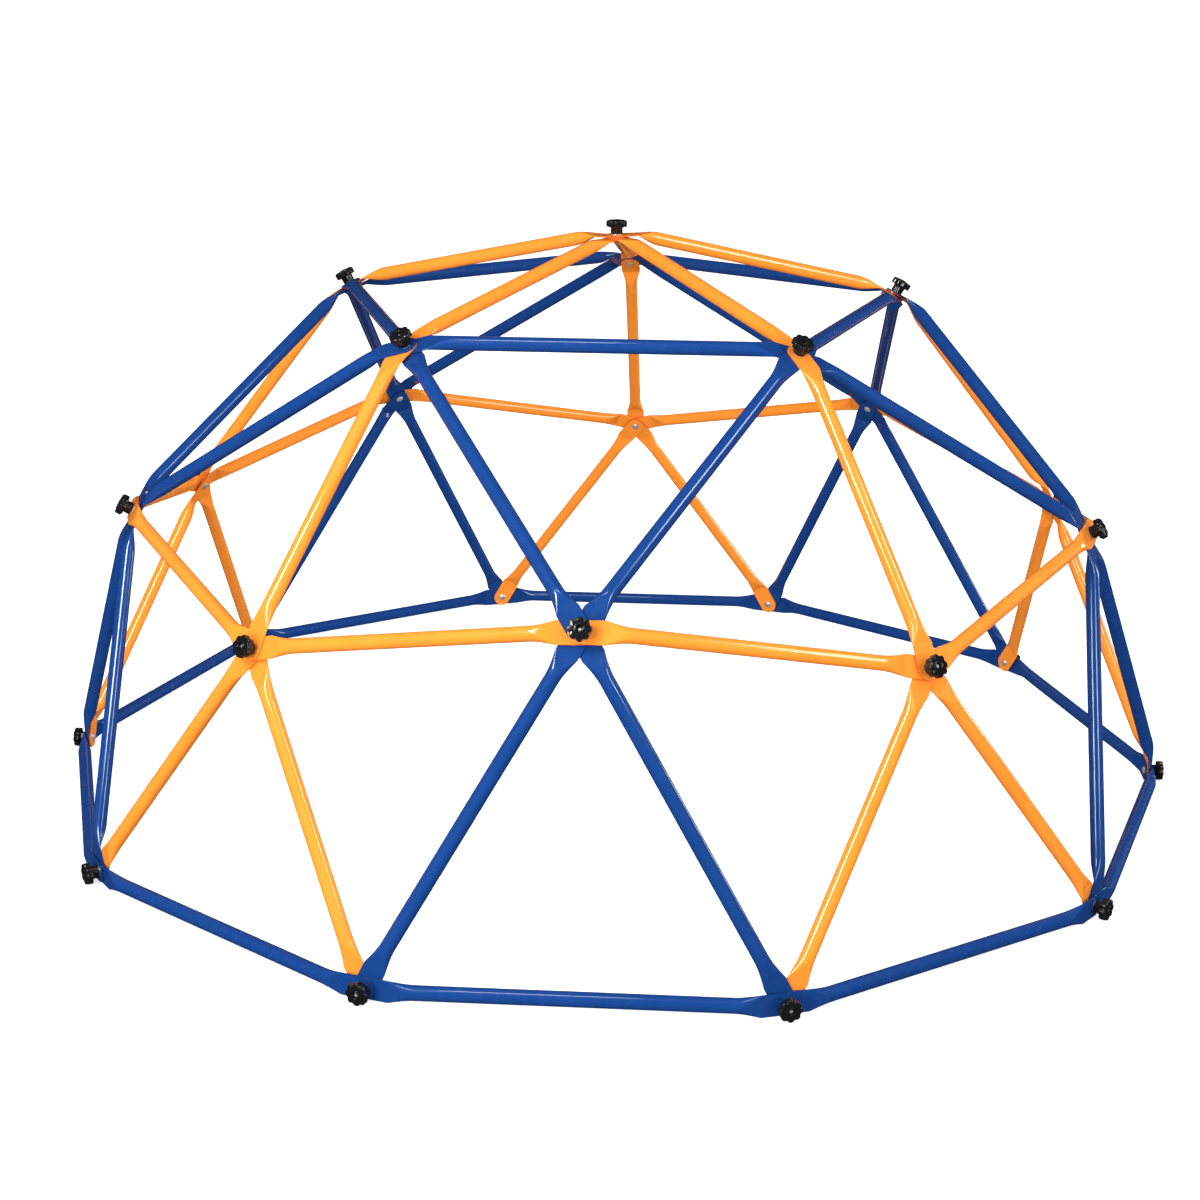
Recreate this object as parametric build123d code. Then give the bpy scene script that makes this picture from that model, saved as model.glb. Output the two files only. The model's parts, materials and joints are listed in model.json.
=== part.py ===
from build123d import *
import os
from math import asin, atan, ceil, cos, pi, radians, sin, sqrt

# Geodesic climbing dome: half an icosidodecahedron of long tubes, whose six pentagons are
# each raised into a low pyramid by five short tubes. Every tube end is pressed flat and the
# flat ends are stacked on one bolt per hub, under a star-shaped hand knob.
# Millimetres, +Z up, origin on the ground under the apex.

# Driving dimensions
LONG = 754.0                 # hub to hub along a blue tube
SHORT = 658.0                # hub to hub along an orange tube
TUBE_DIAMETER = 28.6
WALL = 0.9
TAB_WIDTH = 45.0             # width of a pressed end, half of the tube's girth
SLIT = 1.0                   # gap left between the two pressed walls
TAB_LENGTH = 46.0            # bolt centre to the crease where the tube bends inwards
FLARE_LENGTH = 48.0          # crease to the first fully round section
BOLT_HOLE_DIAMETER = 9.0

BOLT_DIAMETER = 8.0
BOLT_LENGTH = 40.0
BOLT_HEAD_DIAMETER = 18.0
BOLT_HEAD_HEIGHT = 4.6

WASHER_DIAMETER = 22.0
WASHER_BORE = 8.6
WASHER_THICKNESS = 1.6

KNOB_DIAMETER = 44.5
KNOB_LOBES = 8
KNOB_LOBE_RADIUS = 6.2
KNOB_HEAD_HEIGHT = 14.0
KNOB_NECK_DIAMETER = 26.0
KNOB_HEIGHT = 29.0
KNOB_EDGE_ROUND = 1.5
KNOB_WELL_DIAMETER = 12.0    # open well above the threaded insert
KNOB_RIM_DIAMETER = 17.0
KNOB_RIM_HEIGHT = 1.0
INSERT_DIAMETER = 14.0
INSERT_HEIGHT = 16.0
THREAD_CLEARANCE = 0.05      # radial, between the bolt and the insert

# Derived sizes
GOLDEN = (1 + sqrt(5)) / 2
TAB_THICKNESS = 2 * WALL + SLIT
BASE_RADIUS = GOLDEN * LONG
PENTAGON_RADIUS = LONG / (2 * sin(radians(36)))
PENTAGON_HEIGHT = sqrt(BASE_RADIUS**2 - PENTAGON_RADIUS**2)
PEAK_RADIUS = PENTAGON_HEIGHT + sqrt(SHORT**2 - PENTAGON_RADIUS**2)
PEAK_ELEVATION = atan(1 / 2)
GROUND_CLEARANCE = TAB_WIDTH / 2
SECTION_EDGE = 180 / pi * asin(TAB_THICKNESS / TUBE_DIAMETER)
FRONT = -90.0                # azimuth of the front hub of the waist
WAIST_COUNT = 10
CROWN_COUNT = 5


class Hub:
    """A bolted joint: its centre, its outward direction and the hubs its tubes run to,
    listed from the outermost tab of the stack to the innermost."""

    def __init__(self, radius, height, azimuth, stack):
        a = radians(azimuth)
        self.outward = Vector(radius * cos(a), radius * sin(a), height).normalized()
        self.centre = Vector(radius * cos(a), radius * sin(a), height + GROUND_CLEARANCE)
        self.stack = stack

    def tab_level(self, other):
        """Distance of a tab's middle plane from the hub's centre, outwards."""
        return ((len(self.stack) - 1) / 2 - self.stack.index(other)) * TAB_THICKNESS

    def outer_face(self):
        return self.centre + self.outward * (len(self.stack) * TAB_THICKNESS / 2)

    def inner_face(self):
        return self.centre - self.outward * (len(self.stack) * TAB_THICKNESS / 2)

    def seat(self, point):
        """A plane at a point of the bolt's axis, +Z outwards and +X level."""
        level = Vector(0, 0, 1).cross(self.outward)
        return Plane(point, x_dir=level if level.length > 0.1 else Vector(1, 0, 0), z_dir=self.outward)


def crown(n):
    return "crown", n % CROWN_COUNT


def waist(n):
    return "waist", n % WAIST_COUNT


def base(n):
    return "base", n % WAIST_COUNT


def stacked_otherwise():
    """The hubs whose tubes were bolted on in another order than the rest of their ring's."""
    apex = ("apex", 0)
    return {
        crown(0): [waist(1), waist(0), crown(4), apex, waist(2), crown(1)],
        crown(2): [waist(4), waist(6), crown(3), apex, crown(1), waist(5)],
        waist(0): [waist(1), crown(4), waist(9), crown(0), base(9), base(0)],
        waist(2): [waist(1), waist(3), crown(0), crown(1), base(1), base(2)],
        waist(8): [waist(9), waist(7), crown(3), crown(4), base(7), base(8)],
        base(2): [base(1), waist(2), waist(3), base(3)],
    }


def make_hubs():
    apex = ("apex", 0)
    hubs = {apex: Hub(0, PEAK_RADIUS, 0, [crown(n) for n in (1, 3, 0, 4, 2)])}
    for n in range(CROWN_COUNT):
        below = 2 * n + 1
        stack = [waist(below - 1), waist(below), crown(n + 1), apex, waist(below + 1), crown(n - 1)]
        hubs[crown(n)] = Hub(PENTAGON_RADIUS, PENTAGON_HEIGHT, FRONT + 36 * below, stack)
    for n in range(WAIST_COUNT):
        azimuth = FRONT + 36 * n
        if n % 2:
            stack = [crown(n // 2), waist(n + 1), waist(n - 1), base(n - 1), base(n)]
            radius, height = PEAK_RADIUS * cos(PEAK_ELEVATION), PEAK_RADIUS * sin(PEAK_ELEVATION)
        else:
            stack = [crown(n // 2 - 1), waist(n + 1), waist(n - 1), crown(n // 2), base(n - 1), base(n)]
            radius, height = PENTAGON_HEIGHT, PENTAGON_RADIUS
        hubs[waist(n)] = Hub(radius, height, azimuth, stack)
        uprights = [waist(n), waist(n + 1)] if n % 2 == 0 else [waist(n + 1), waist(n)]
        hubs[base(n)] = Hub(BASE_RADIUS, 0, azimuth + 18, [base(n - 1), base(n + 1)] + uprights)
    for key, stack in stacked_otherwise().items():
        hubs[key].stack = stack
    return hubs


def round_section(plane, radius):
    """A disc whose edge is four arcs that match the four sides of a flat section."""
    angles = [-SECTION_EDGE, SECTION_EDGE, 180 - SECTION_EDGE, 180 + SECTION_EDGE]
    corners = [Vector(radius, 0).rotate(Axis.Z, a) for a in angles]
    middles = [Vector(radius, 0).rotate(Axis.Z, a) for a in (0, 90, 180, 270)]
    arcs = [ThreePointArc(corners[i], middles[i], corners[(i + 1) % 4]) for i in range(4)]
    return plane * make_face(arcs)


def tube_core(path, across, width, thickness, radius, overrun):
    """The filled shape inside one skin of a tube: flat end, flare, round middle, flare, flat end.
    path holds the two bolt holes and the two creases; across is the direction of the width."""
    hole_a, crease_a, crease_b, hole_b = path
    along = (crease_b - crease_a).normalized()
    body = None
    rounds = []
    for hole, crease, run in ((hole_a, crease_a, along), (hole_b, crease_b, along * -1)):
        away = (crease - hole).normalized()
        flat = Plane(crease, x_dir=across, z_dir=away) * Rectangle(width, thickness)
        start = crease + run * FLARE_LENGTH
        rounds.append(start)
        disc = round_section(Plane(start, x_dir=across, z_dir=run), radius)
        end = extrude(flat, amount=TAB_LENGTH + TAB_WIDTH / 2 + overrun, dir=away * -1)
        piece = end + loft([flat, disc], ruled=True)
        body = piece if body is None else body + piece
    middle = Plane(rounds[0], x_dir=across, z_dir=along) * Circle(radius)
    return body + extrude(middle, amount=(rounds[1] - rounds[0]).length, dir=along)


def tube(hubs, key_a, key_b):
    """One tube between two hubs, with its flat ends at their places in the two stacks."""
    a, b = hubs[key_a], hubs[key_b]
    across = a.outward.cross(b.outward).normalized()
    hole_a = a.centre + a.outward * a.tab_level(key_b)
    hole_b = b.centre + b.outward * b.tab_level(key_a)
    crease_a = hole_a + across.cross(a.outward) * TAB_LENGTH
    crease_b = hole_b - across.cross(b.outward) * TAB_LENGTH
    path = [hole_a, crease_a, crease_b, hole_b]
    outer = tube_core(path, across, TAB_WIDTH, TAB_THICKNESS, TUBE_DIAMETER / 2, 0)
    inner = tube_core(path, across, TAB_WIDTH - 2 * WALL, SLIT, TUBE_DIAMETER / 2 - WALL, WALL)
    body = outer - inner
    for hub, hole, crease in ((a, hole_a, crease_a), (b, hole_b, crease_b)):
        tab_plane = Plane(hole - hub.outward * TAB_THICKNESS, x_dir=crease - hole, z_dir=hub.outward)
        corner = Pos(-TAB_WIDTH / 2, 0) * Rectangle(TAB_WIDTH, 2 * TAB_WIDTH)
        trim = corner - Circle(TAB_WIDTH / 2) + Circle(BOLT_HOLE_DIAMETER / 2)
        body -= extrude(tab_plane * trim, amount=2 * TAB_THICKNESS)
    return body.solid()


def bolt(hub):
    """Round-headed bolt, its head under the innermost tab and its shank pointing outwards."""
    rise = BOLT_HEAD_HEIGHT
    dome_radius = (rise**2 + (BOLT_HEAD_DIAMETER / 2) ** 2) / (2 * rise)
    ball = Pos(0, 0, dome_radius - rise) * Sphere(dome_radius)
    head = ball & Pos(0, 0, -rise / 2) * Cylinder(BOLT_HEAD_DIAMETER / 2, rise)
    shank = extrude(Circle(BOLT_DIAMETER / 2), amount=BOLT_LENGTH)
    return hub.seat(hub.inner_face()) * (head + shank).solid()


def washer(hub):
    ring = Circle(WASHER_DIAMETER / 2) - Circle(WASHER_BORE / 2)
    return hub.seat(hub.outer_face()) * extrude(ring, amount=WASHER_THICKNESS)


def knob_outline():
    """Eight round lobes about a hub, as a flat outline."""
    centre_radius = KNOB_DIAMETER / 2 - KNOB_LOBE_RADIUS
    outline = Circle(centre_radius + KNOB_LOBE_RADIUS * 0.45)
    for n in range(KNOB_LOBES):
        outline += Rot(0, 0, 360 / KNOB_LOBES * n) * Pos(centre_radius, 0) * Circle(KNOB_LOBE_RADIUS)
    return outline


def make_knob():
    """The moulded knob and the threaded insert in its neck, +Z outwards, on its own base."""
    underside = KNOB_HEIGHT - KNOB_HEAD_HEIGHT
    head = Pos(0, 0, underside) * extrude(knob_outline(), amount=KNOB_HEAD_HEIGHT)
    head = chamfer(head.faces().sort_by(Axis.Z)[-1].edges(), KNOB_EDGE_ROUND)
    neck = extrude(Circle(KNOB_NECK_DIAMETER / 2), amount=underside)
    rim = Pos(0, 0, KNOB_HEIGHT) * extrude(Circle(KNOB_RIM_DIAMETER / 2), amount=KNOB_RIM_HEIGHT)
    well = Pos(0, 0, INSERT_HEIGHT) * extrude(Circle(KNOB_WELL_DIAMETER / 2), amount=KNOB_HEIGHT)
    pocket = extrude(Circle(INSERT_DIAMETER / 2), amount=INSERT_HEIGHT)
    moulding = (head + neck + rim - well - pocket).solid()
    thread = Circle(INSERT_DIAMETER / 2) - Circle(BOLT_DIAMETER / 2 + THREAD_CLEARANCE)
    return [moulding, extrude(thread, amount=INSERT_HEIGHT).solid()]


def hub_name(key):
    ring, n = key
    return ring if ring == "apex" else f"{ring}_{n + 1}"


def tube_groups():
    """Every tube once, as pairs of hubs, grouped by its place in the dome."""
    crowns, waists = range(CROWN_COUNT), range(WAIST_COUNT)
    peaks, valleys = waists[1::2], waists[::2]
    apex = ("apex", 0)
    return {
        "meridian_ribs": [(apex, crown(n)) for n in crowns] + [(crown(n), waist(2 * n + 1)) for n in crowns],
        "crown_ring": [(crown(n), crown(n + 1)) for n in crowns],
        "crown_braces": [(crown(n), waist(2 * n + side)) for n in crowns for side in (0, 2)],
        "waist_ring": [(waist(n), waist(n + 1)) for n in waists],
        "short_legs": [(waist(n), base(n - side)) for n in peaks for side in (0, 1)],
        "long_legs": [(waist(n), base(n - side)) for n in valleys for side in (0, 1)],
        "base_ring": [(base(n), base(n + 1)) for n in waists],
    }


def write(name, solids):
    node = Compound(label=name, children=list(solids))
    export_step(node, f"parts/{name}.step")


def main():
    os.makedirs("parts", exist_ok=True)
    hubs = make_hubs()
    for name, pairs in tube_groups().items():
        write(name, [tube(hubs, a, b) for a, b in pairs])
    write("hub_bolts", [bolt(hub) for hub in hubs.values()])
    knob = make_knob()
    for key, hub in hubs.items():
        write(f"washer_{hub_name(key)}", [washer(hub)])
        seat = hub.seat(hub.outer_face() + hub.outward * WASHER_THICKNESS)
        write(f"knob_{hub_name(key)}", [seat * solid for solid in knob])


main()
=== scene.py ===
import json
from math import asin, atan2, cos, pi, radians, sin, sqrt, tan

import bmesh
import bpy
from mathutils import Matrix, Vector


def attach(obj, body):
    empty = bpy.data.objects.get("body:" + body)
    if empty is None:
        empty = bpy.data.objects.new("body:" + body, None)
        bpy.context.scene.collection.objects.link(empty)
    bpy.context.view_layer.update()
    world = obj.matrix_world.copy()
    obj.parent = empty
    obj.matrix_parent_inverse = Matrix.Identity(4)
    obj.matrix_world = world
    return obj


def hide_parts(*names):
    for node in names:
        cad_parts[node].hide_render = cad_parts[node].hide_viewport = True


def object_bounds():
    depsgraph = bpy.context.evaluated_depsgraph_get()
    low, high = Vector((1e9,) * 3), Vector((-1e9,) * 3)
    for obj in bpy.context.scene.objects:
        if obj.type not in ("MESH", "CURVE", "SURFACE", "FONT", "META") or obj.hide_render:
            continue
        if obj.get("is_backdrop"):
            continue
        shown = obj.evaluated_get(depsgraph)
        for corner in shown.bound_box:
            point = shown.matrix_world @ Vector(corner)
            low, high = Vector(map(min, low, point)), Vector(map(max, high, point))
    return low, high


# The looks of a geodesic climbing dome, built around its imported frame. Metres, +Z up.
# Hub places and directions come from the knob hinges in the frame. Everything that is swept
# or turned below is described in millimetres, and MM turns it into metres.
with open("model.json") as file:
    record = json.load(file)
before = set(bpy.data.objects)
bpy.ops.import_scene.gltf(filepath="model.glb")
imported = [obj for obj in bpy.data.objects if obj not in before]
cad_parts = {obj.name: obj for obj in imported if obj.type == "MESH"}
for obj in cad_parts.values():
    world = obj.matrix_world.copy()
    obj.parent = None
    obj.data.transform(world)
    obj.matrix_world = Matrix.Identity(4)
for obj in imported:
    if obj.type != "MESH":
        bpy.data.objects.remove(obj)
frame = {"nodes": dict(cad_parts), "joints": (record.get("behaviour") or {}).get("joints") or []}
cad_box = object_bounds()
MM = 0.001

# Tube
TUBE_RADIUS = 14.3
TAB_THICKNESS = 2.8
TAB_HALF_WIDTH = 22.5
TAB_LENGTH = 46.0            # bolt centre to the crease
FLARE_LENGTH = 48.0          # crease to the first fully round section
HOLE_RADIUS = 4.5
FOLD_RADIUS = TAB_THICKNESS / 2
FLAT_STEPS = 8               # points across a flat side of a section
FOLD_STEPS = 16              # points round each end of a section
FLARE_STEPS = 14
TIP_STEPS = 26
SIDE_STEPS = 7
FLARE_EASE = 1.7             # 1 is a straight flare; more opens faster at the crease
CREASE_BOW = 6.0             # how far the crease's middle stands beyond its ends
CUT_LIP = 0.3                # width of the rounding where a wall is cut
# Rings over a tab's face, from its hole: (share of the way to the outline, wear)
FACE_RINGS = [(0.0, 0.7), (0.04, 0.6), (0.55, 0.45), (0.95, 0.35), (1.0, 0.35)]

# Washer, bolt and knob
WASHER_THICKNESS = 1.6
BOLT_RADIUS = 4.0
BOLT_LENGTH = 40.0
BOLT_HEAD_RADIUS = 9.0
BOLT_HEAD_HEIGHT = 4.6
THREAD_START = 10.0
THREAD_PITCH = 1.25
THREAD_DEPTH = 0.7
THREAD_ROOT = BOLT_RADIUS - THREAD_DEPTH
BOLT_TIP_LENGTH = 0.8
BOLT_STEPS = 32
BOLT_HEAD_STEPS = 12
KNOB_RADIUS = 22.25
KNOB_LOBES = 8
KNOB_LOBE_STEPS = 24         # points round each lobe
KNOB_VALLEY = 3.1
KNOB_HEIGHT = 29.0
KNOB_HEAD_HEIGHT = 14.0
KNOB_NECK_RADIUS = 12.8
KNOB_NECK_FLUTES = 24
KNOB_FLUTE_DEPTH = 0.55
KNOB_RIM_RADIUS = 8.5
KNOB_WELL_RADIUS = 6.0
INSERT_RADIUS = 7.0
INSERT_HEIGHT = 16.0
INSERT_STEPS = 40

# Edges that bend by more than this many degrees are shaded sharp
TUBE_SHARP = 42
BOLT_SHARP = 38
KNOB_SHARP = 50
INSERT_SHARP = 40

WELD_DISTANCE = 0.004        # points nearer than this become one
SHORTEST_EDGE = 0.002        # shorter edges than this are dissolved

WAIST_COUNT = 10
CROWN_COUNT = 5


# Hubs and tubes

def crown(n):
    return "crown", n % CROWN_COUNT


def waist(n):
    return "waist", n % WAIST_COUNT


def base(n):
    return "base", n % WAIST_COUNT


APEX = ("apex", 0)


def stacked_otherwise():
    """The hubs whose tubes were bolted on in another order than the rest of their ring's."""
    return {
        crown(0): [waist(1), waist(0), crown(4), APEX, waist(2), crown(1)],
        crown(2): [waist(4), waist(6), crown(3), APEX, crown(1), waist(5)],
        waist(0): [waist(1), crown(4), waist(9), crown(0), base(9), base(0)],
        waist(2): [waist(1), waist(3), crown(0), crown(1), base(1), base(2)],
        waist(8): [waist(9), waist(7), crown(3), crown(4), base(7), base(8)],
        base(2): [base(1), waist(2), waist(3), base(3)],
    }


def stacks():
    """For each hub, the hubs its tubes run to, from the outermost tab to the innermost."""
    found = {APEX: [crown(n) for n in (1, 3, 0, 4, 2)]}
    for n in range(CROWN_COUNT):
        below = 2 * n + 1
        found[crown(n)] = [waist(below - 1), waist(below), crown(n + 1), APEX,
                           waist(below + 1), crown(n - 1)]
    for n in range(WAIST_COUNT):
        sides = [waist(n + 1), waist(n - 1)]
        feet = [base(n - 1), base(n)]
        if n % 2:
            found[waist(n)] = [crown(n // 2)] + sides + feet
            uprights = [waist(n + 1), waist(n)]
        else:
            found[waist(n)] = [crown(n // 2 - 1)] + sides + [crown(n // 2)] + feet
            uprights = [waist(n), waist(n + 1)]
        found[base(n)] = [base(n - 1), base(n + 1)] + uprights
    found.update(stacked_otherwise())
    return found


def hub_name(key):
    ring, n = key
    return ring if ring == "apex" else f"{ring}_{n + 1}"


class Hub:
    """A bolted joint: its centre and outward direction, from its knob's hinge."""

    def __init__(self, key, stack):
        name = f"knob_{hub_name(key)}_turn"
        hinge = next(j for j in frame["joints"] if j["name"] == name)
        self.name = hub_name(key)
        self.stack = stack
        self.outward = Vector(hinge["axis"]).normalized()
        self.knob_seat = Vector(hinge["pos_m"])
        self.half_stack = len(stack) * TAB_THICKNESS / 2 * MM
        self.centre = self.knob_seat - self.outward * (WASHER_THICKNESS * MM + self.half_stack)

    def level(self, other):
        """Distance of a tab's middle plane from the hub's centre, outwards."""
        return ((len(self.stack) - 1) / 2 - self.stack.index(other)) * TAB_THICKNESS * MM

    def seat(self, point):
        """The matrix of a frame at a point of the bolt's axis, in millimetres, +Z outwards."""
        x = Vector((0, 0, 1)).cross(self.outward)
        x = x.normalized() if x.length > 0.1 else Vector((1, 0, 0))
        y = self.outward.cross(x)
        turn = Matrix((x, y, self.outward)).transposed().to_4x4()
        return Matrix.Translation(point) @ turn @ Matrix.Scale(MM, 4)


HUBS = {key: Hub(key, stack) for key, stack in stacks().items()}


def tube_groups():
    """Every tube once, as pairs of hubs, under the CAD node that holds it."""
    crowns, waists = range(CROWN_COUNT), range(WAIST_COUNT)
    peaks, valleys = waists[1::2], waists[::2]
    return {
        "meridian_ribs": [(APEX, crown(n)) for n in crowns]
                         + [(crown(n), waist(2 * n + 1)) for n in crowns],
        "crown_ring": [(crown(n), crown(n + 1)) for n in crowns],
        "crown_braces": [(crown(n), waist(2 * n + side)) for n in crowns for side in (0, 2)],
        "waist_ring": [(waist(n), waist(n + 1)) for n in waists],
        "short_legs": [(waist(n), base(n - side)) for n in peaks for side in (0, 1)],
        "long_legs": [(waist(n), base(n - side)) for n in valleys for side in (0, 1)],
        "base_ring": [(base(n), base(n + 1)) for n in waists],
    }


ORANGE_GROUPS = ("meridian_ribs", "waist_ring", "short_legs")


# Mesh building

class Surface:
    """Collects grids of points whose shared edges are then welded into one closed mesh. Every point
    carries a value from 0 to 1 as a vertex attribute: how worn it is, and on the tabs' cut edges
    also how much painted shade darkens the coat there."""

    def __init__(self):
        self.points = []
        self.faces = []
        self.wear_and_edge_shade = []

    def grid(self, rows, wear_and_edge_shade=None, closed=False):
        """Quads between rows of points of equal length. closed joins each row's two ends."""
        width = len(rows[0])
        first = len(self.points)
        for i, row in enumerate(rows):
            self.points.extend(row)
            self.wear_and_edge_shade.extend([wear_and_edge_shade[i] if wear_and_edge_shade else 0.0] * width)
        for i in range(len(rows) - 1):
            for j in range(width if closed else width - 1):
                a = first + i * width + j
                b = first + i * width + (j + 1) % width
                self.faces.append((a, b, b + width, a + width))

    def fan(self, row, centre):
        """Triangles from a closed row of points to one point."""
        first = len(self.points)
        self.points.extend(list(row) + [centre])
        self.wear_and_edge_shade.extend([0.0] * (len(row) + 1))
        for j in range(len(row)):
            self.faces.append((first + j, first + (j + 1) % len(row), first + len(row)))

    def build(self, name, matrix, material, sharp_angle):
        """The welded object, with its points moved by the matrix."""
        mesh = bpy.data.meshes.new(name)
        mesh.from_pydata([matrix @ Vector(p) for p in self.points], [], self.faces)
        layer = mesh.attributes.new("wear_and_edge_shade", "FLOAT", "POINT")
        layer.data.foreach_set("value", self.wear_and_edge_shade)
        shape = bmesh.new()
        shape.from_mesh(mesh)
        bmesh.ops.remove_doubles(shape, verts=shape.verts, dist=WELD_DISTANCE * MM)
        bmesh.ops.dissolve_degenerate(shape, edges=shape.edges, dist=SHORTEST_EDGE * MM)
        bmesh.ops.recalc_face_normals(shape, faces=shape.faces)
        shape.to_mesh(mesh)
        shape.free()
        mesh.shade_smooth()
        mesh.set_sharp_from_angle(angle=radians(sharp_angle))
        mesh.materials.append(material)
        piece = bpy.data.objects.new(name, mesh)
        bpy.context.scene.collection.objects.link(piece)
        return piece


def turned(surface, profile, steps, wear_and_edge_shade=None):
    """A profile of (radius, height) points turned about Z."""
    angles = [2 * pi * j / steps for j in range(steps)]
    rows = [[(r * cos(a), r * sin(a), z) for a in angles] for r, z in profile]
    surface.grid(rows, wear_and_edge_shade, closed=True)


# Materials

def material(name):
    made = bpy.data.materials.new(name)
    made.use_nodes = True
    return made, made.node_tree, made.node_tree.nodes["Principled BSDF"]


def noise(tree, coordinates, scale, detail, roughness=0.5):
    node = tree.nodes.new("ShaderNodeTexNoise")
    node.inputs["Scale"].default_value = scale
    node.inputs["Detail"].default_value = detail
    node.inputs["Roughness"].default_value = roughness
    tree.links.new(coordinates, node.inputs["Vector"])
    return node.outputs["Fac"]


def ramp(tree, factor, low, high, start, end):
    """A factor from start to end, while the input runs from low to high."""
    node = tree.nodes.new("ShaderNodeMapRange")
    node.inputs["From Min"].default_value = low
    node.inputs["From Max"].default_value = high
    node.inputs["To Min"].default_value = start
    node.inputs["To Max"].default_value = end
    tree.links.new(factor, node.inputs["Value"])
    return node.outputs["Result"]


def maths(tree, operation, a, b):
    node = tree.nodes.new("ShaderNodeMath")
    node.operation = operation
    for socket, value in zip(node.inputs, (a, b)):
        if isinstance(value, (int, float)):
            socket.default_value = value
        else:
            tree.links.new(value, socket)
    return node.outputs["Value"]


def mixed(tree, factor, a, b):
    """Colour a, turning to colour b as the factor goes to 1."""
    node = tree.nodes.new("ShaderNodeMix")
    node.data_type = "RGBA"
    tree.links.new(factor, node.inputs["Factor"])
    for socket, value in zip((node.inputs[6], node.inputs[7]), (a, b)):
        if isinstance(value, tuple):
            socket.default_value = (*value, 1)
        else:
            tree.links.new(value, socket)
    return node.outputs[2]


def bump(tree, shader, height, distance, strength):
    node = tree.nodes.new("ShaderNodeBump")
    node.inputs["Distance"].default_value = distance
    node.inputs["Strength"].default_value = strength
    tree.links.new(height, node.inputs["Height"])
    tree.links.new(node.outputs["Normal"], shader.inputs["Normal"])


def wear_and_edge_shade_of(tree):
    node = tree.nodes.new("ShaderNodeAttribute")
    node.attribute_name = "wear_and_edge_shade"
    return node.outputs["Fac"]


def powder_coat(name, colour, deep, edge, scuff):
    """Glossy powder coat: an orange-peel skin, uneven build-up, scuffs round the bolts, and a darker
    colour on the cut edges, which is partly thicker coat and partly painted shade standing for the
    shade between the stacked tabs."""
    made, tree, shader = material(name)
    place = tree.nodes.new("ShaderNodeTexCoord").outputs["Object"]
    wear_and_edge_shade = wear_and_edge_shade_of(tree)
    build_up = ramp(tree, noise(tree, place, 9, 3), 0.3, 0.7, 0, 1)
    # Painted shade: where the attribute is near 1, on the tabs' cut and folded edges, the paint
    # turns to the darker edge colour, partly for thicker coat and partly for the shade between the
    # stacked tabs.
    edge_coat_and_shade = ramp(tree, wear_and_edge_shade, 0.75, 1.0, 0, 0.7)
    specks = ramp(tree, noise(tree, place, 700, 2, 0.7), 0.68, 0.74, 0, 1)
    scuffs = maths(tree, "MULTIPLY", specks, ramp(tree, wear_and_edge_shade, 0.1, 0.6, 0, 0.6))
    paint = mixed(tree, build_up, deep, colour)
    paint = mixed(tree, edge_coat_and_shade, paint, edge)
    paint = mixed(tree, scuffs, paint, scuff)
    tree.links.new(paint, shader.inputs["Base Color"])
    gloss = ramp(tree, noise(tree, place, 60, 4), 0.3, 0.7, 0.20, 0.30)
    tree.links.new(maths(tree, "ADD", gloss, maths(tree, "MULTIPLY", scuffs, 0.4)),
                   shader.inputs["Roughness"])
    shader.inputs["Specular IOR Level"].default_value = 0.1
    shader.inputs["Coat Weight"].default_value = 0.6
    shader.inputs["Coat Roughness"].default_value = 0.02
    bump(tree, shader, noise(tree, place, 230, 1), 0.00008, 0.12)
    return made


def moulded_plastic(name):
    """Black moulded plastic with a fine grain, slightly greyed where hands rub it."""
    made, tree, shader = material(name)
    place = tree.nodes.new("ShaderNodeTexCoord").outputs["Object"]
    wear_and_edge_shade = wear_and_edge_shade_of(tree)
    rubbed = maths(tree, "MULTIPLY", wear_and_edge_shade, ramp(tree, noise(tree, place, 300, 3), 0.4, 0.7, 0, 0.8))
    tree.links.new(mixed(tree, rubbed, (0.006, 0.006, 0.0065), (0.022, 0.022, 0.024)),
                   shader.inputs["Base Color"])
    tree.links.new(ramp(tree, noise(tree, place, 150, 3), 0.3, 0.7, 0.10, 0.18),
                   shader.inputs["Roughness"])
    shader.inputs["Specular IOR Level"].default_value = 0.4
    bump(tree, shader, noise(tree, place, 1800, 3, 0.6), 0.00008, 0.25)
    return made


def zinc_plate(name):
    """Bright zinc plating: faint spangle and a slight blue and straw tint."""
    made, tree, shader = material(name)
    shader.inputs["Metallic"].default_value = 0.7
    place = tree.nodes.new("ShaderNodeTexCoord").outputs["Object"]
    tint = ramp(tree, noise(tree, place, 220, 3), 0.35, 0.65, 0, 1)
    tree.links.new(mixed(tree, tint, (0.66, 0.68, 0.71), (0.78, 0.76, 0.72)),
                   shader.inputs["Base Color"])
    tree.links.new(ramp(tree, noise(tree, place, 500, 4), 0.3, 0.7, 0.28, 0.44),
                   shader.inputs["Roughness"])
    bump(tree, shader, noise(tree, place, 1200, 3), 0.00003, 0.4)
    return made


# The third colour of each coat, the darker edge colour, is partly thicker coat and partly painted
# shade between the stacked tabs.
ORANGE = powder_coat("orange_powder_coat", (0.93, 0.280, 0.032), (0.89, 0.255, 0.027),
                     (0.62, 0.10, 0.014), (0.30, 0.09, 0.03))
BLUE = powder_coat("blue_powder_coat", (0.007, 0.046, 0.205), (0.0062, 0.042, 0.190),
                   (0.0015, 0.018, 0.085), (0.16, 0.22, 0.36))
PLASTIC = moulded_plastic("black_knob_plastic")
ZINC = zinc_plate("zinc_plated_steel")


# Tubes

def half_ring(steps):
    return [pi / 2 - pi * k / steps for k in range(steps + 1)]


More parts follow.
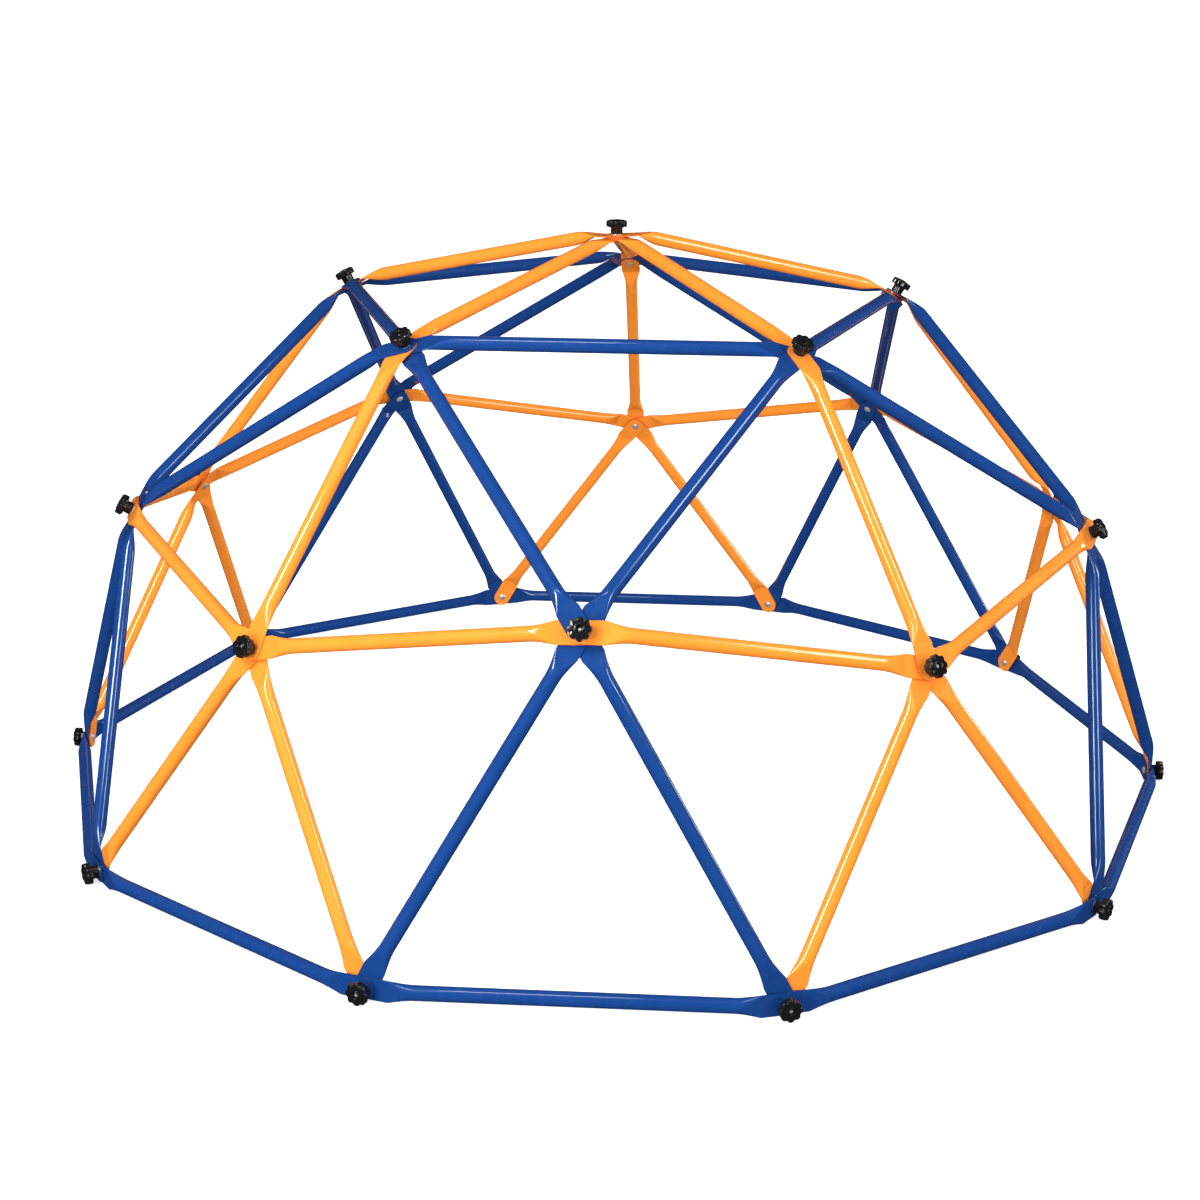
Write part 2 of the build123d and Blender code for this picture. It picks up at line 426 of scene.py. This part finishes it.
def cut_edge():
    """The edge of a pressed end where it is cut: (distance inside the outline, height).
    The two walls stand either side of a narrow groove."""
    upper = [(CUT_LIP, FOLD_RADIUS), (0.12, 1.33), (0.0, 1.15), (0.0, 0.8), (0.0, 0.58), (0.2, 0.5),
             (1.2, 0.5), (1.9, 0.35)]
    return upper + [(2.0, 0.0)] + [(inside, -height) for inside, height in reversed(upper)]


def fold_edge():
    """The folded side of a pressed end, in the same form as cut_edge."""
    return [(FOLD_RADIUS * (1 - cos(a)), FOLD_RADIUS * sin(a)) for a in half_ring(FOLD_STEPS)]


def tab_edge_columns():
    """Down one side, round the tip and up the other side: for each point of the outline its
    place, its direction outwards, and its edge."""
    flat_half = TAB_HALF_WIDTH - FOLD_RADIUS
    corner = atan2(flat_half, TAB_LENGTH)
    side = []
    for k in range(SIDE_STEPS + 1):
        a = corner + (pi / 2 - corner) * k / SIDE_STEPS
        side.append(flat_half / tan(a) if k < SIDE_STEPS else 0.0)
    columns = [((x, TAB_HALF_WIDTH), (0.0, 1.0), fold_edge()) for x in side]
    for k in range(1, TIP_STEPS):
        a = pi / 2 + pi * k / TIP_STEPS
        out = (cos(a), sin(a))
        columns.append(((TAB_HALF_WIDTH * out[0], TAB_HALF_WIDTH * out[1]), out, cut_edge()))
    columns += [((x, -TAB_HALF_WIDTH), (0.0, -1.0), fold_edge()) for x in reversed(side)]
    return columns


def crease_bow(share):
    """How far the crease stands out at a share of its half width from its middle."""
    return CREASE_BOW * max(0.0, 1 - share * share)


def tab(surface, place):
    """The flat end with its bolt hole. place(x, y, z) is along the tube, across it, outwards."""
    edges = []
    for (x, y), out, edge in tab_edge_columns():
        edges.append([(x - out[0] * inside, y - out[1] * inside, z) for inside, z in edge])
    flat_half = TAB_HALF_WIDTH - FOLD_RADIUS
    steps = [2 * k / FLAT_STEPS - 1 for k in range(1, FLAT_STEPS)]
    crease = [(TAB_LENGTH + crease_bow(share), flat_half * share) for share in steps]
    # The cut and folded edges are marked near 1: rubbed there, and darkened by painted shade in the
    # coat.
    surface.grid([[place(*column[k]) for column in edges] for k in range(FOLD_STEPS + 1)],
                 [1.0 if 1 < k < FOLD_STEPS - 1 else 0.8 for k in range(FOLD_STEPS + 1)])
    lip = HOLE_RADIUS + CUT_LIP
    for row, height in ((0, FOLD_RADIUS), (FOLD_STEPS, -FOLD_RADIUS)):
        outline = [column[row][:2] for column in edges] + crease
        rings = []
        for share, _ in FACE_RINGS:
            ring = []
            for x, y in outline:
                reach = sqrt(x * x + y * y)
                inner = (x / reach * lip, y / reach * lip)
                ring.append(place(inner[0] + (x - inner[0]) * share,
                                  inner[1] + (y - inner[1]) * share, height))
            rings.append(ring)
        surface.grid(rings, [wear_and_edge_shade for _, wear_and_edge_shade in FACE_RINGS], closed=True)
    wall = [(HOLE_RADIUS + inside, z) for inside, z in cut_edge()]
    angles = [atan2(y, x) for x, y in [column[0][:2] for column in edges] + crease]
    surface.grid([[place(r * cos(a), r * sin(a), z) for a in angles] for r, z in wall],
                 closed=True)


def flare_section(share):
    """A section of the flare: two half rings joined by two flats, as (across, out) points.
    share runs from 0, pressed flat, to 1, round."""
    radius = FOLD_RADIUS + (TUBE_RADIUS - FOLD_RADIUS) * share
    flat = (TAB_HALF_WIDTH - FOLD_RADIUS) * (1 - share)
    right = [(flat + radius * cos(a), radius * sin(a)) for a in half_ring(FOLD_STEPS)]
    across = [flat * (1 - 2 * k / FLAT_STEPS) for k in range(1, FLAT_STEPS)]
    left = [(-x, -y) for x, y in right]
    return right + [(x, -radius) for x in across] + left + [(-x, radius) for x in across]


def tube(name, key_a, key_b, coat):
    """One tube, in the frame's metres, with its pressed ends in their places in two stacks."""
    a, b = HUBS[key_a], HUBS[key_b]
    across = a.outward.cross(b.outward).normalized()
    ends = []
    for hub, other, side in ((a, key_b, across), (b, key_a, -across)):
        hole = hub.centre + hub.outward * hub.level(other)
        ends.append((hub, hole, side.cross(hub.outward), side))
    creases = [hole + away * TAB_LENGTH * MM for hub, hole, away, side in ends]
    flat_half = TAB_HALF_WIDTH - FOLD_RADIUS
    surface = Surface()
    rings = []
    for i, (hub, hole, away, side) in enumerate(ends):
        run = (creases[1 - i] - creases[i]).normalized()
        out = run.cross(side) if run.cross(side).dot(hub.outward) > 0 else side.cross(run)

        def place(x, y, z, hole=hole, away=away, out=hub.outward):
            return hole + (away * x + across * y + out * z) * MM

        tab(surface, place)
        sections = []
        for k in range(FLARE_STEPS + 1):
            along = k / FLARE_STEPS
            share = 1 - (1 - along) ** FLARE_EASE
            lift = hub.outward.lerp(out, along).normalized()
            middle = creases[i] + run * (along * FLARE_LENGTH * MM)
            bowed = away.lerp(run, min(1.0, 4 * along)) * (1 - along) ** 2
            sections.append([middle + (across * x + lift * y
                                       + bowed * crease_bow(x / flat_half)) * MM
                             for x, y in flare_section(share)])
        surface.grid(sections, [0.4 * (1 - k / FLARE_STEPS) for k in range(FLARE_STEPS + 1)],
                     closed=True)
        rings.append(sections[-1])
    surface.grid([rings[0], rings[1]], closed=True)
    return surface.build(name, Matrix.Identity(4), coat, TUBE_SHARP)


for group, pairs in tube_groups().items():
    orange = group in ORANGE_GROUPS
    for n, (key_a, key_b) in enumerate(pairs):
        piece = tube(f"{group}_tube_{n + 1}", key_a, key_b, ORANGE if orange else BLUE)
        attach(piece, "frame")
        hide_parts(group)


# Bolts

def thread(surface, start, end, crest, root):
    """A helical thread about Z from start to end, running out to the root at both ends."""
    profile = [(0.0, root), (0.15, root), (0.45, crest), (0.6, crest), (0.9, root)]
    turns = int((end - start) / THREAD_PITCH) + 1
    rows = []
    for turn in range(-1, turns):
        for part, radius in profile:
            row = []
            for j in range(BOLT_STEPS + 1):
                z = start + (turn + part + j / BOLT_STEPS) * THREAD_PITCH
                free = min(z - start, end - z) / THREAD_PITCH
                r = root + (radius - root) * min(1.0, max(0.0, free))
                z = min(end, max(start, z))
                a = 2 * pi * j / BOLT_STEPS
                row.append((r * cos(a), r * sin(a), z))
            rows.append(row)
    surface.grid(rows)


def circle(radius, z):
    angles = [2 * pi * j / BOLT_STEPS for j in range(BOLT_STEPS)]
    return [(radius * cos(a), radius * sin(a), z) for a in angles]


def head_and_shank():
    """A round bolt head below z 0, and the plain shank above it as far as the thread."""
    surface = Surface()
    dome = (BOLT_HEAD_HEIGHT**2 + BOLT_HEAD_RADIUS**2) / (2 * BOLT_HEAD_HEIGHT)
    spread = asin((BOLT_HEAD_RADIUS - 0.25) / dome)
    profile = []
    for k in range(1, BOLT_HEAD_STEPS + 1):
        a = spread * k / BOLT_HEAD_STEPS
        profile.append((dome * sin(a), dome - BOLT_HEAD_HEIGHT - dome * cos(a)))
    profile += [(BOLT_HEAD_RADIUS, -0.25), (BOLT_HEAD_RADIUS - 0.2, 0.0), (BOLT_RADIUS + 0.5, 0.0),
                (BOLT_RADIUS, 0.3), (BOLT_RADIUS, THREAD_START - 1.2), (THREAD_ROOT, THREAD_START)]
    turned(surface, profile, BOLT_STEPS)
    surface.fan(circle(*profile[0]), (0, 0, -BOLT_HEAD_HEIGHT))
    return surface


def bolt(hub):
    surface = head_and_shank()
    end = BOLT_LENGTH - BOLT_TIP_LENGTH
    thread(surface, THREAD_START, end, BOLT_RADIUS, THREAD_ROOT)
    tip = (THREAD_ROOT - 0.5, BOLT_LENGTH)
    turned(surface, [(THREAD_ROOT, end), tip], BOLT_STEPS)
    surface.fan(circle(*tip), (0, 0, BOLT_LENGTH))
    return surface.build(f"bolt_{hub.name}", hub.seat(hub.centre - hub.outward * hub.half_stack),
                         ZINC, BOLT_SHARP)


# Knobs

def lobes(angle, share):
    """How far the outline stands inside the lobes' tips. share 1 is the full valley."""
    valley = ((1 - cos(KNOB_LOBES * angle)) / 2) ** 1.5
    return KNOB_VALLEY * valley * share


def knob_profile():
    """Rows of (radius, height, share of the lobes, share of the flutes), from the mouth of the
    neck's pocket up the outside, over the top and down the well."""
    under = KNOB_HEIGHT - KNOB_HEAD_HEIGHT
    neck = KNOB_NECK_RADIUS
    edge = KNOB_RADIUS
    rows = [(INSERT_RADIUS, 0, 0, 0), (neck - 1.2, 0, 0, 0), (neck - 0.6, 0.3, 0, 0.4),
            (neck - 0.1, 1.2, 0, 1), (neck, 2.5, 0, 1), (neck + 0.1, under - 2.5, 0, 1),
            (neck + 0.6, under - 0.8, 0.05, 0.6), (neck + 1.8, under - 0.1, 0.1, 0),
            (edge - 4.0, under, 0.55, 0), (edge - 1.6, under + 0.05, 0.9, 0)]
    for k in range(1, 5):
        a = pi / 2 * k / 4
        rows.append((edge - 1.2 + 1.2 * sin(a), under + 1.25 - 1.2 * cos(a), 1, 0))
    crown_height = KNOB_HEIGHT - 0.9
    rim_top = KNOB_HEIGHT + 0.95
    rows.append((edge, crown_height - 2.6, 1, 0))
    for k in range(1, 8):
        a = pi / 2 * k / 7
        rows.append((edge - 2.6 + 2.6 * cos(a), crown_height - 2.6 + 2.6 * sin(a), 1, 0))
    rows += [(edge - 5.0, crown_height + 0.35, 0.8, 0), (edge - 8.0, crown_height + 0.65, 0.4, 0),
             (KNOB_RIM_RADIUS + 2.2, crown_height + 0.8, 0.1, 0),
             (KNOB_RIM_RADIUS + 0.7, crown_height + 0.85, 0, 0),
             (KNOB_RIM_RADIUS + 0.2, crown_height + 1.0, 0, 0),
             (KNOB_RIM_RADIUS - 0.1, rim_top - 0.5, 0, 0), (KNOB_RIM_RADIUS - 0.6, rim_top, 0, 0),
             (KNOB_WELL_RADIUS + 0.7, rim_top, 0, 0), (KNOB_WELL_RADIUS + 0.15, rim_top - 0.4, 0, 0),
             (KNOB_WELL_RADIUS, rim_top - 1.2, 0, 0), (KNOB_WELL_RADIUS, INSERT_HEIGHT, 0, 0),
             (INSERT_RADIUS, INSERT_HEIGHT, 0, 0)]
    return rows


def knob(hub):
    surface = Surface()
    steps = KNOB_LOBES * KNOB_LOBE_STEPS
    angles = [2 * pi * j / steps for j in range(steps)]
    rows, wear_and_edge_shade = [], []
    profile = knob_profile()
    for radius, z, lobed, fluted in profile + profile[:1]:
        row = []
        for a in angles:
            flute = KNOB_FLUTE_DEPTH * (0.5 - 0.5 * cos(KNOB_NECK_FLUTES * a)) ** 0.7
            r = radius - lobes(a, lobed) - flute * fluted
            row.append((r * cos(a), r * sin(a), z))
        rows.append(row)
        wear_and_edge_shade.append(1.0 if radius > KNOB_RADIUS - 2.2 and z > KNOB_HEIGHT - 4 else 0.15)
    surface.grid(rows, wear_and_edge_shade, closed=True)
    return surface.build(f"knob_moulding_{hub.name}", hub.seat(hub.knob_seat), PLASTIC, KNOB_SHARP)


def insert(hub):
    """The threaded steel insert in the knob's neck."""
    surface = Surface()
    bore = BOLT_RADIUS + 0.05
    outside = INSERT_RADIUS
    profile = [(bore + 0.5, 0.1), (outside - 0.4, 0.1), (outside, 0.5)]
    for k in range(1, 6):
        z = 0.5 + (INSERT_HEIGHT - 1.0) * k / 6
        profile += [(outside, z - 0.5), (outside - 0.4, z), (outside, z + 0.5)]
    profile += [(outside, INSERT_HEIGHT - 0.5), (outside - 0.4, INSERT_HEIGHT),
                (bore + 0.5, INSERT_HEIGHT)]
    turned(surface, profile, INSERT_STEPS)
    turned(surface, [(bore + 0.5, 0.1), (bore, 0.6)], INSERT_STEPS)
    turned(surface, [(bore + 0.5, INSERT_HEIGHT), (bore, INSERT_HEIGHT - 0.5)], INSERT_STEPS)
    turned(surface, [(bore, 0.6), (bore, INSERT_HEIGHT - 0.5)], INSERT_STEPS)
    return surface.build(f"knob_insert_{hub.name}", hub.seat(hub.knob_seat), ZINC, INSERT_SHARP)


for hub in HUBS.values():
    piece = bolt(hub)
    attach(piece, "frame")
    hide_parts("hub_bolts")
    for piece, slot in ((knob(hub), "black_knob_plastic"), (insert(hub), "zinc_plated_steel")):
        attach(piece, f"knob_{hub.name}")
        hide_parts(f"knob_{hub.name}")
    washer = frame["nodes"][f"washer_{hub.name}"]
    washer.material_slots[0].material = ZINC
    weld = washer.modifiers.new("weld", "WELD")
    weld.merge_threshold = 0.001 * MM
    edge = washer.modifiers.new("edge", "BEVEL")
    edge.width = 0.3 * MM
    edge.segments = 2


# Floor, light and camera

LIT_MIDDLE = Vector((0, 0, 0.6))
FILL_SIZE = 2.5
GLOSS_STEP = 0.05            # how far a softbox's reflected light stands before its other one
FLOOR_HALF = 150
CAMERA_PLACE = (0.2446, -4.5618, 1.8573)
CAMERA_LENS = 63.84
CAMERA_SENSOR = 36
CAMERA_HEADING, CAMERA_PITCH, CAMERA_ROLL = -3.428, -17.767, 0.506     # degrees


def area_light(name, place, size, power, in_paint, in_gloss):
    """A square light aimed at the middle of the dome. It lights the paint, or shows as a
    reflection in its gloss, or both."""
    data = bpy.data.lights.new(name, "AREA")
    data.shape = "SQUARE"
    data.size = size
    data.energy = power
    lamp = bpy.data.objects.new(name, data)
    bpy.context.scene.collection.objects.link(lamp)
    lamp.location = place
    lamp.rotation_mode = "QUATERNION"
    lamp.rotation_quaternion = (LIT_MIDDLE - place).to_track_quat("-Z", "Y")
    lamp.visible_camera = False
    lamp.visible_diffuse = in_paint
    lamp.visible_glossy = in_gloss


def light_place(heading, height, distance):
    """A place by its heading in degrees from the front, to the right, its height in degrees
    above the middle of the dome, and its distance from there."""
    turn, rise = radians(heading), radians(height)
    way = Vector((sin(turn) * cos(rise), -cos(turn) * cos(rise), sin(rise)))
    return LIT_MIDDLE + way * distance


def softbox(name, heading, height, distance, size, power, gloss):
    """A light that gives one power to the paint and another to the reflections in its gloss.
    The second stands a little before the first: in the same place it left no reflection."""
    area_light(name, light_place(heading, height, distance), size, power, True, False)
    area_light(f"{name}_gloss", light_place(heading, height, distance - GLOSS_STEP), size, gloss,
               False, True)


def fill(name, heading, height, distance, power):
    """A wide light that leaves no reflection."""
    area_light(name, light_place(heading, height, distance), FILL_SIZE, power, True, False)


def make_floor():
    made, tree, shader = material("pale_floor")
    shader.inputs["Base Color"].default_value = (0.8, 0.8, 0.8, 1)
    shader.inputs["Roughness"].default_value = 0.9
    shader.inputs["Specular IOR Level"].default_value = 0.0
    shader.inputs["Emission Color"].default_value = (1, 1, 1, 1)
    place = tree.nodes.new("ShaderNodeTexCoord").outputs["Object"]
    reach = tree.nodes.new("ShaderNodeVectorMath")
    reach.operation = "LENGTH"
    tree.links.new(place, reach.inputs[0])
    tree.links.new(ramp(tree, reach.outputs["Value"], 1.5, 6, 0.62, 0.95),
                   shader.inputs["Emission Strength"])
    mesh = bpy.data.meshes.new("floor")
    far = FLOOR_HALF
    mesh.from_pydata([(-far, -far, 0), (far, -far, 0), (far, far, 0), (-far, far, 0)],
                     [], [(0, 1, 2, 3)])
    mesh.materials.append(made)
    floor = bpy.data.objects.new("floor", mesh)
    bpy.context.scene.collection.objects.link(floor)
    floor.visible_glossy = False
    floor.visible_diffuse = False
    floor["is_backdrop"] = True


def make_world():
    """A white surround for the eye, and a dimmer one for soft light and for the paint's gloss."""
    world = bpy.data.worlds.new("studio")
    bpy.context.scene.world = world
    world.use_nodes = True
    tree = world.node_tree
    background = tree.nodes["Background"]
    background.inputs["Color"].default_value = (1, 1, 1, 1)
    rays = tree.nodes.new("ShaderNodeLightPath")
    strength = ramp(tree, rays.outputs["Is Camera Ray"], 0, 1, 0.45, 1.0)
    glossy = maths(tree, "MULTIPLY", rays.outputs["Is Glossy Ray"], 0.42)
    tree.links.new(maths(tree, "SUBTRACT", strength, glossy), background.inputs["Strength"])


def make_camera():
    """The camera stands at head height, well back, and looks down at the dome."""
    data = bpy.data.cameras.new("camera")
    data.sensor_width = CAMERA_SENSOR
    data.lens = CAMERA_LENS
    camera = bpy.data.objects.new("camera", data)
    bpy.context.scene.collection.objects.link(camera)
    camera.location = CAMERA_PLACE
    camera.rotation_mode = "QUATERNION"
    heading, pitch, roll = map(radians, (CAMERA_HEADING, CAMERA_PITCH, CAMERA_ROLL))
    look = Vector((cos(pitch) * sin(heading), cos(pitch) * cos(heading), sin(pitch)))
    spin = Matrix.Rotation(roll, 4, "Z").to_quaternion()
    camera.rotation_quaternion = look.to_track_quat("-Z", "Y") @ spin
    bpy.context.scene.camera = camera


# Headings and heights in degrees, distances and sizes in metres, then the watts: for a softbox
# those on the paint and those in its gloss.
softbox("front_softbox", -28, 34, 3.4, 0.9, 52, 100)
softbox("right_softbox", 56, 38, 3.4, 0.75, 19, 32)
softbox("centre_softbox", 48, 26, 4.5, 0.75, 20, 36)
softbox("top_softbox", -12, 62, 6.0, 0.8, 24, 36)
softbox("side_softbox", 112, 6, 6.0, 1.1, 28, 66)
fill("front_fill", -30, 8, 5.5, 185)
fill("right_fill", 45, 8, 9.0, 260)
fill("rear_right_fill", 130, 8, 5.5, 220)
fill("rear_left_fill", -130, 25, 5.5, 70)
make_floor()
make_world()
make_camera()
bpy.context.scene.view_settings.view_transform = "Standard"

boxes = {"cad": cad_box, "visual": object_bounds()}
{name: [list(corner) for corner in box] for name, box in boxes.items()}
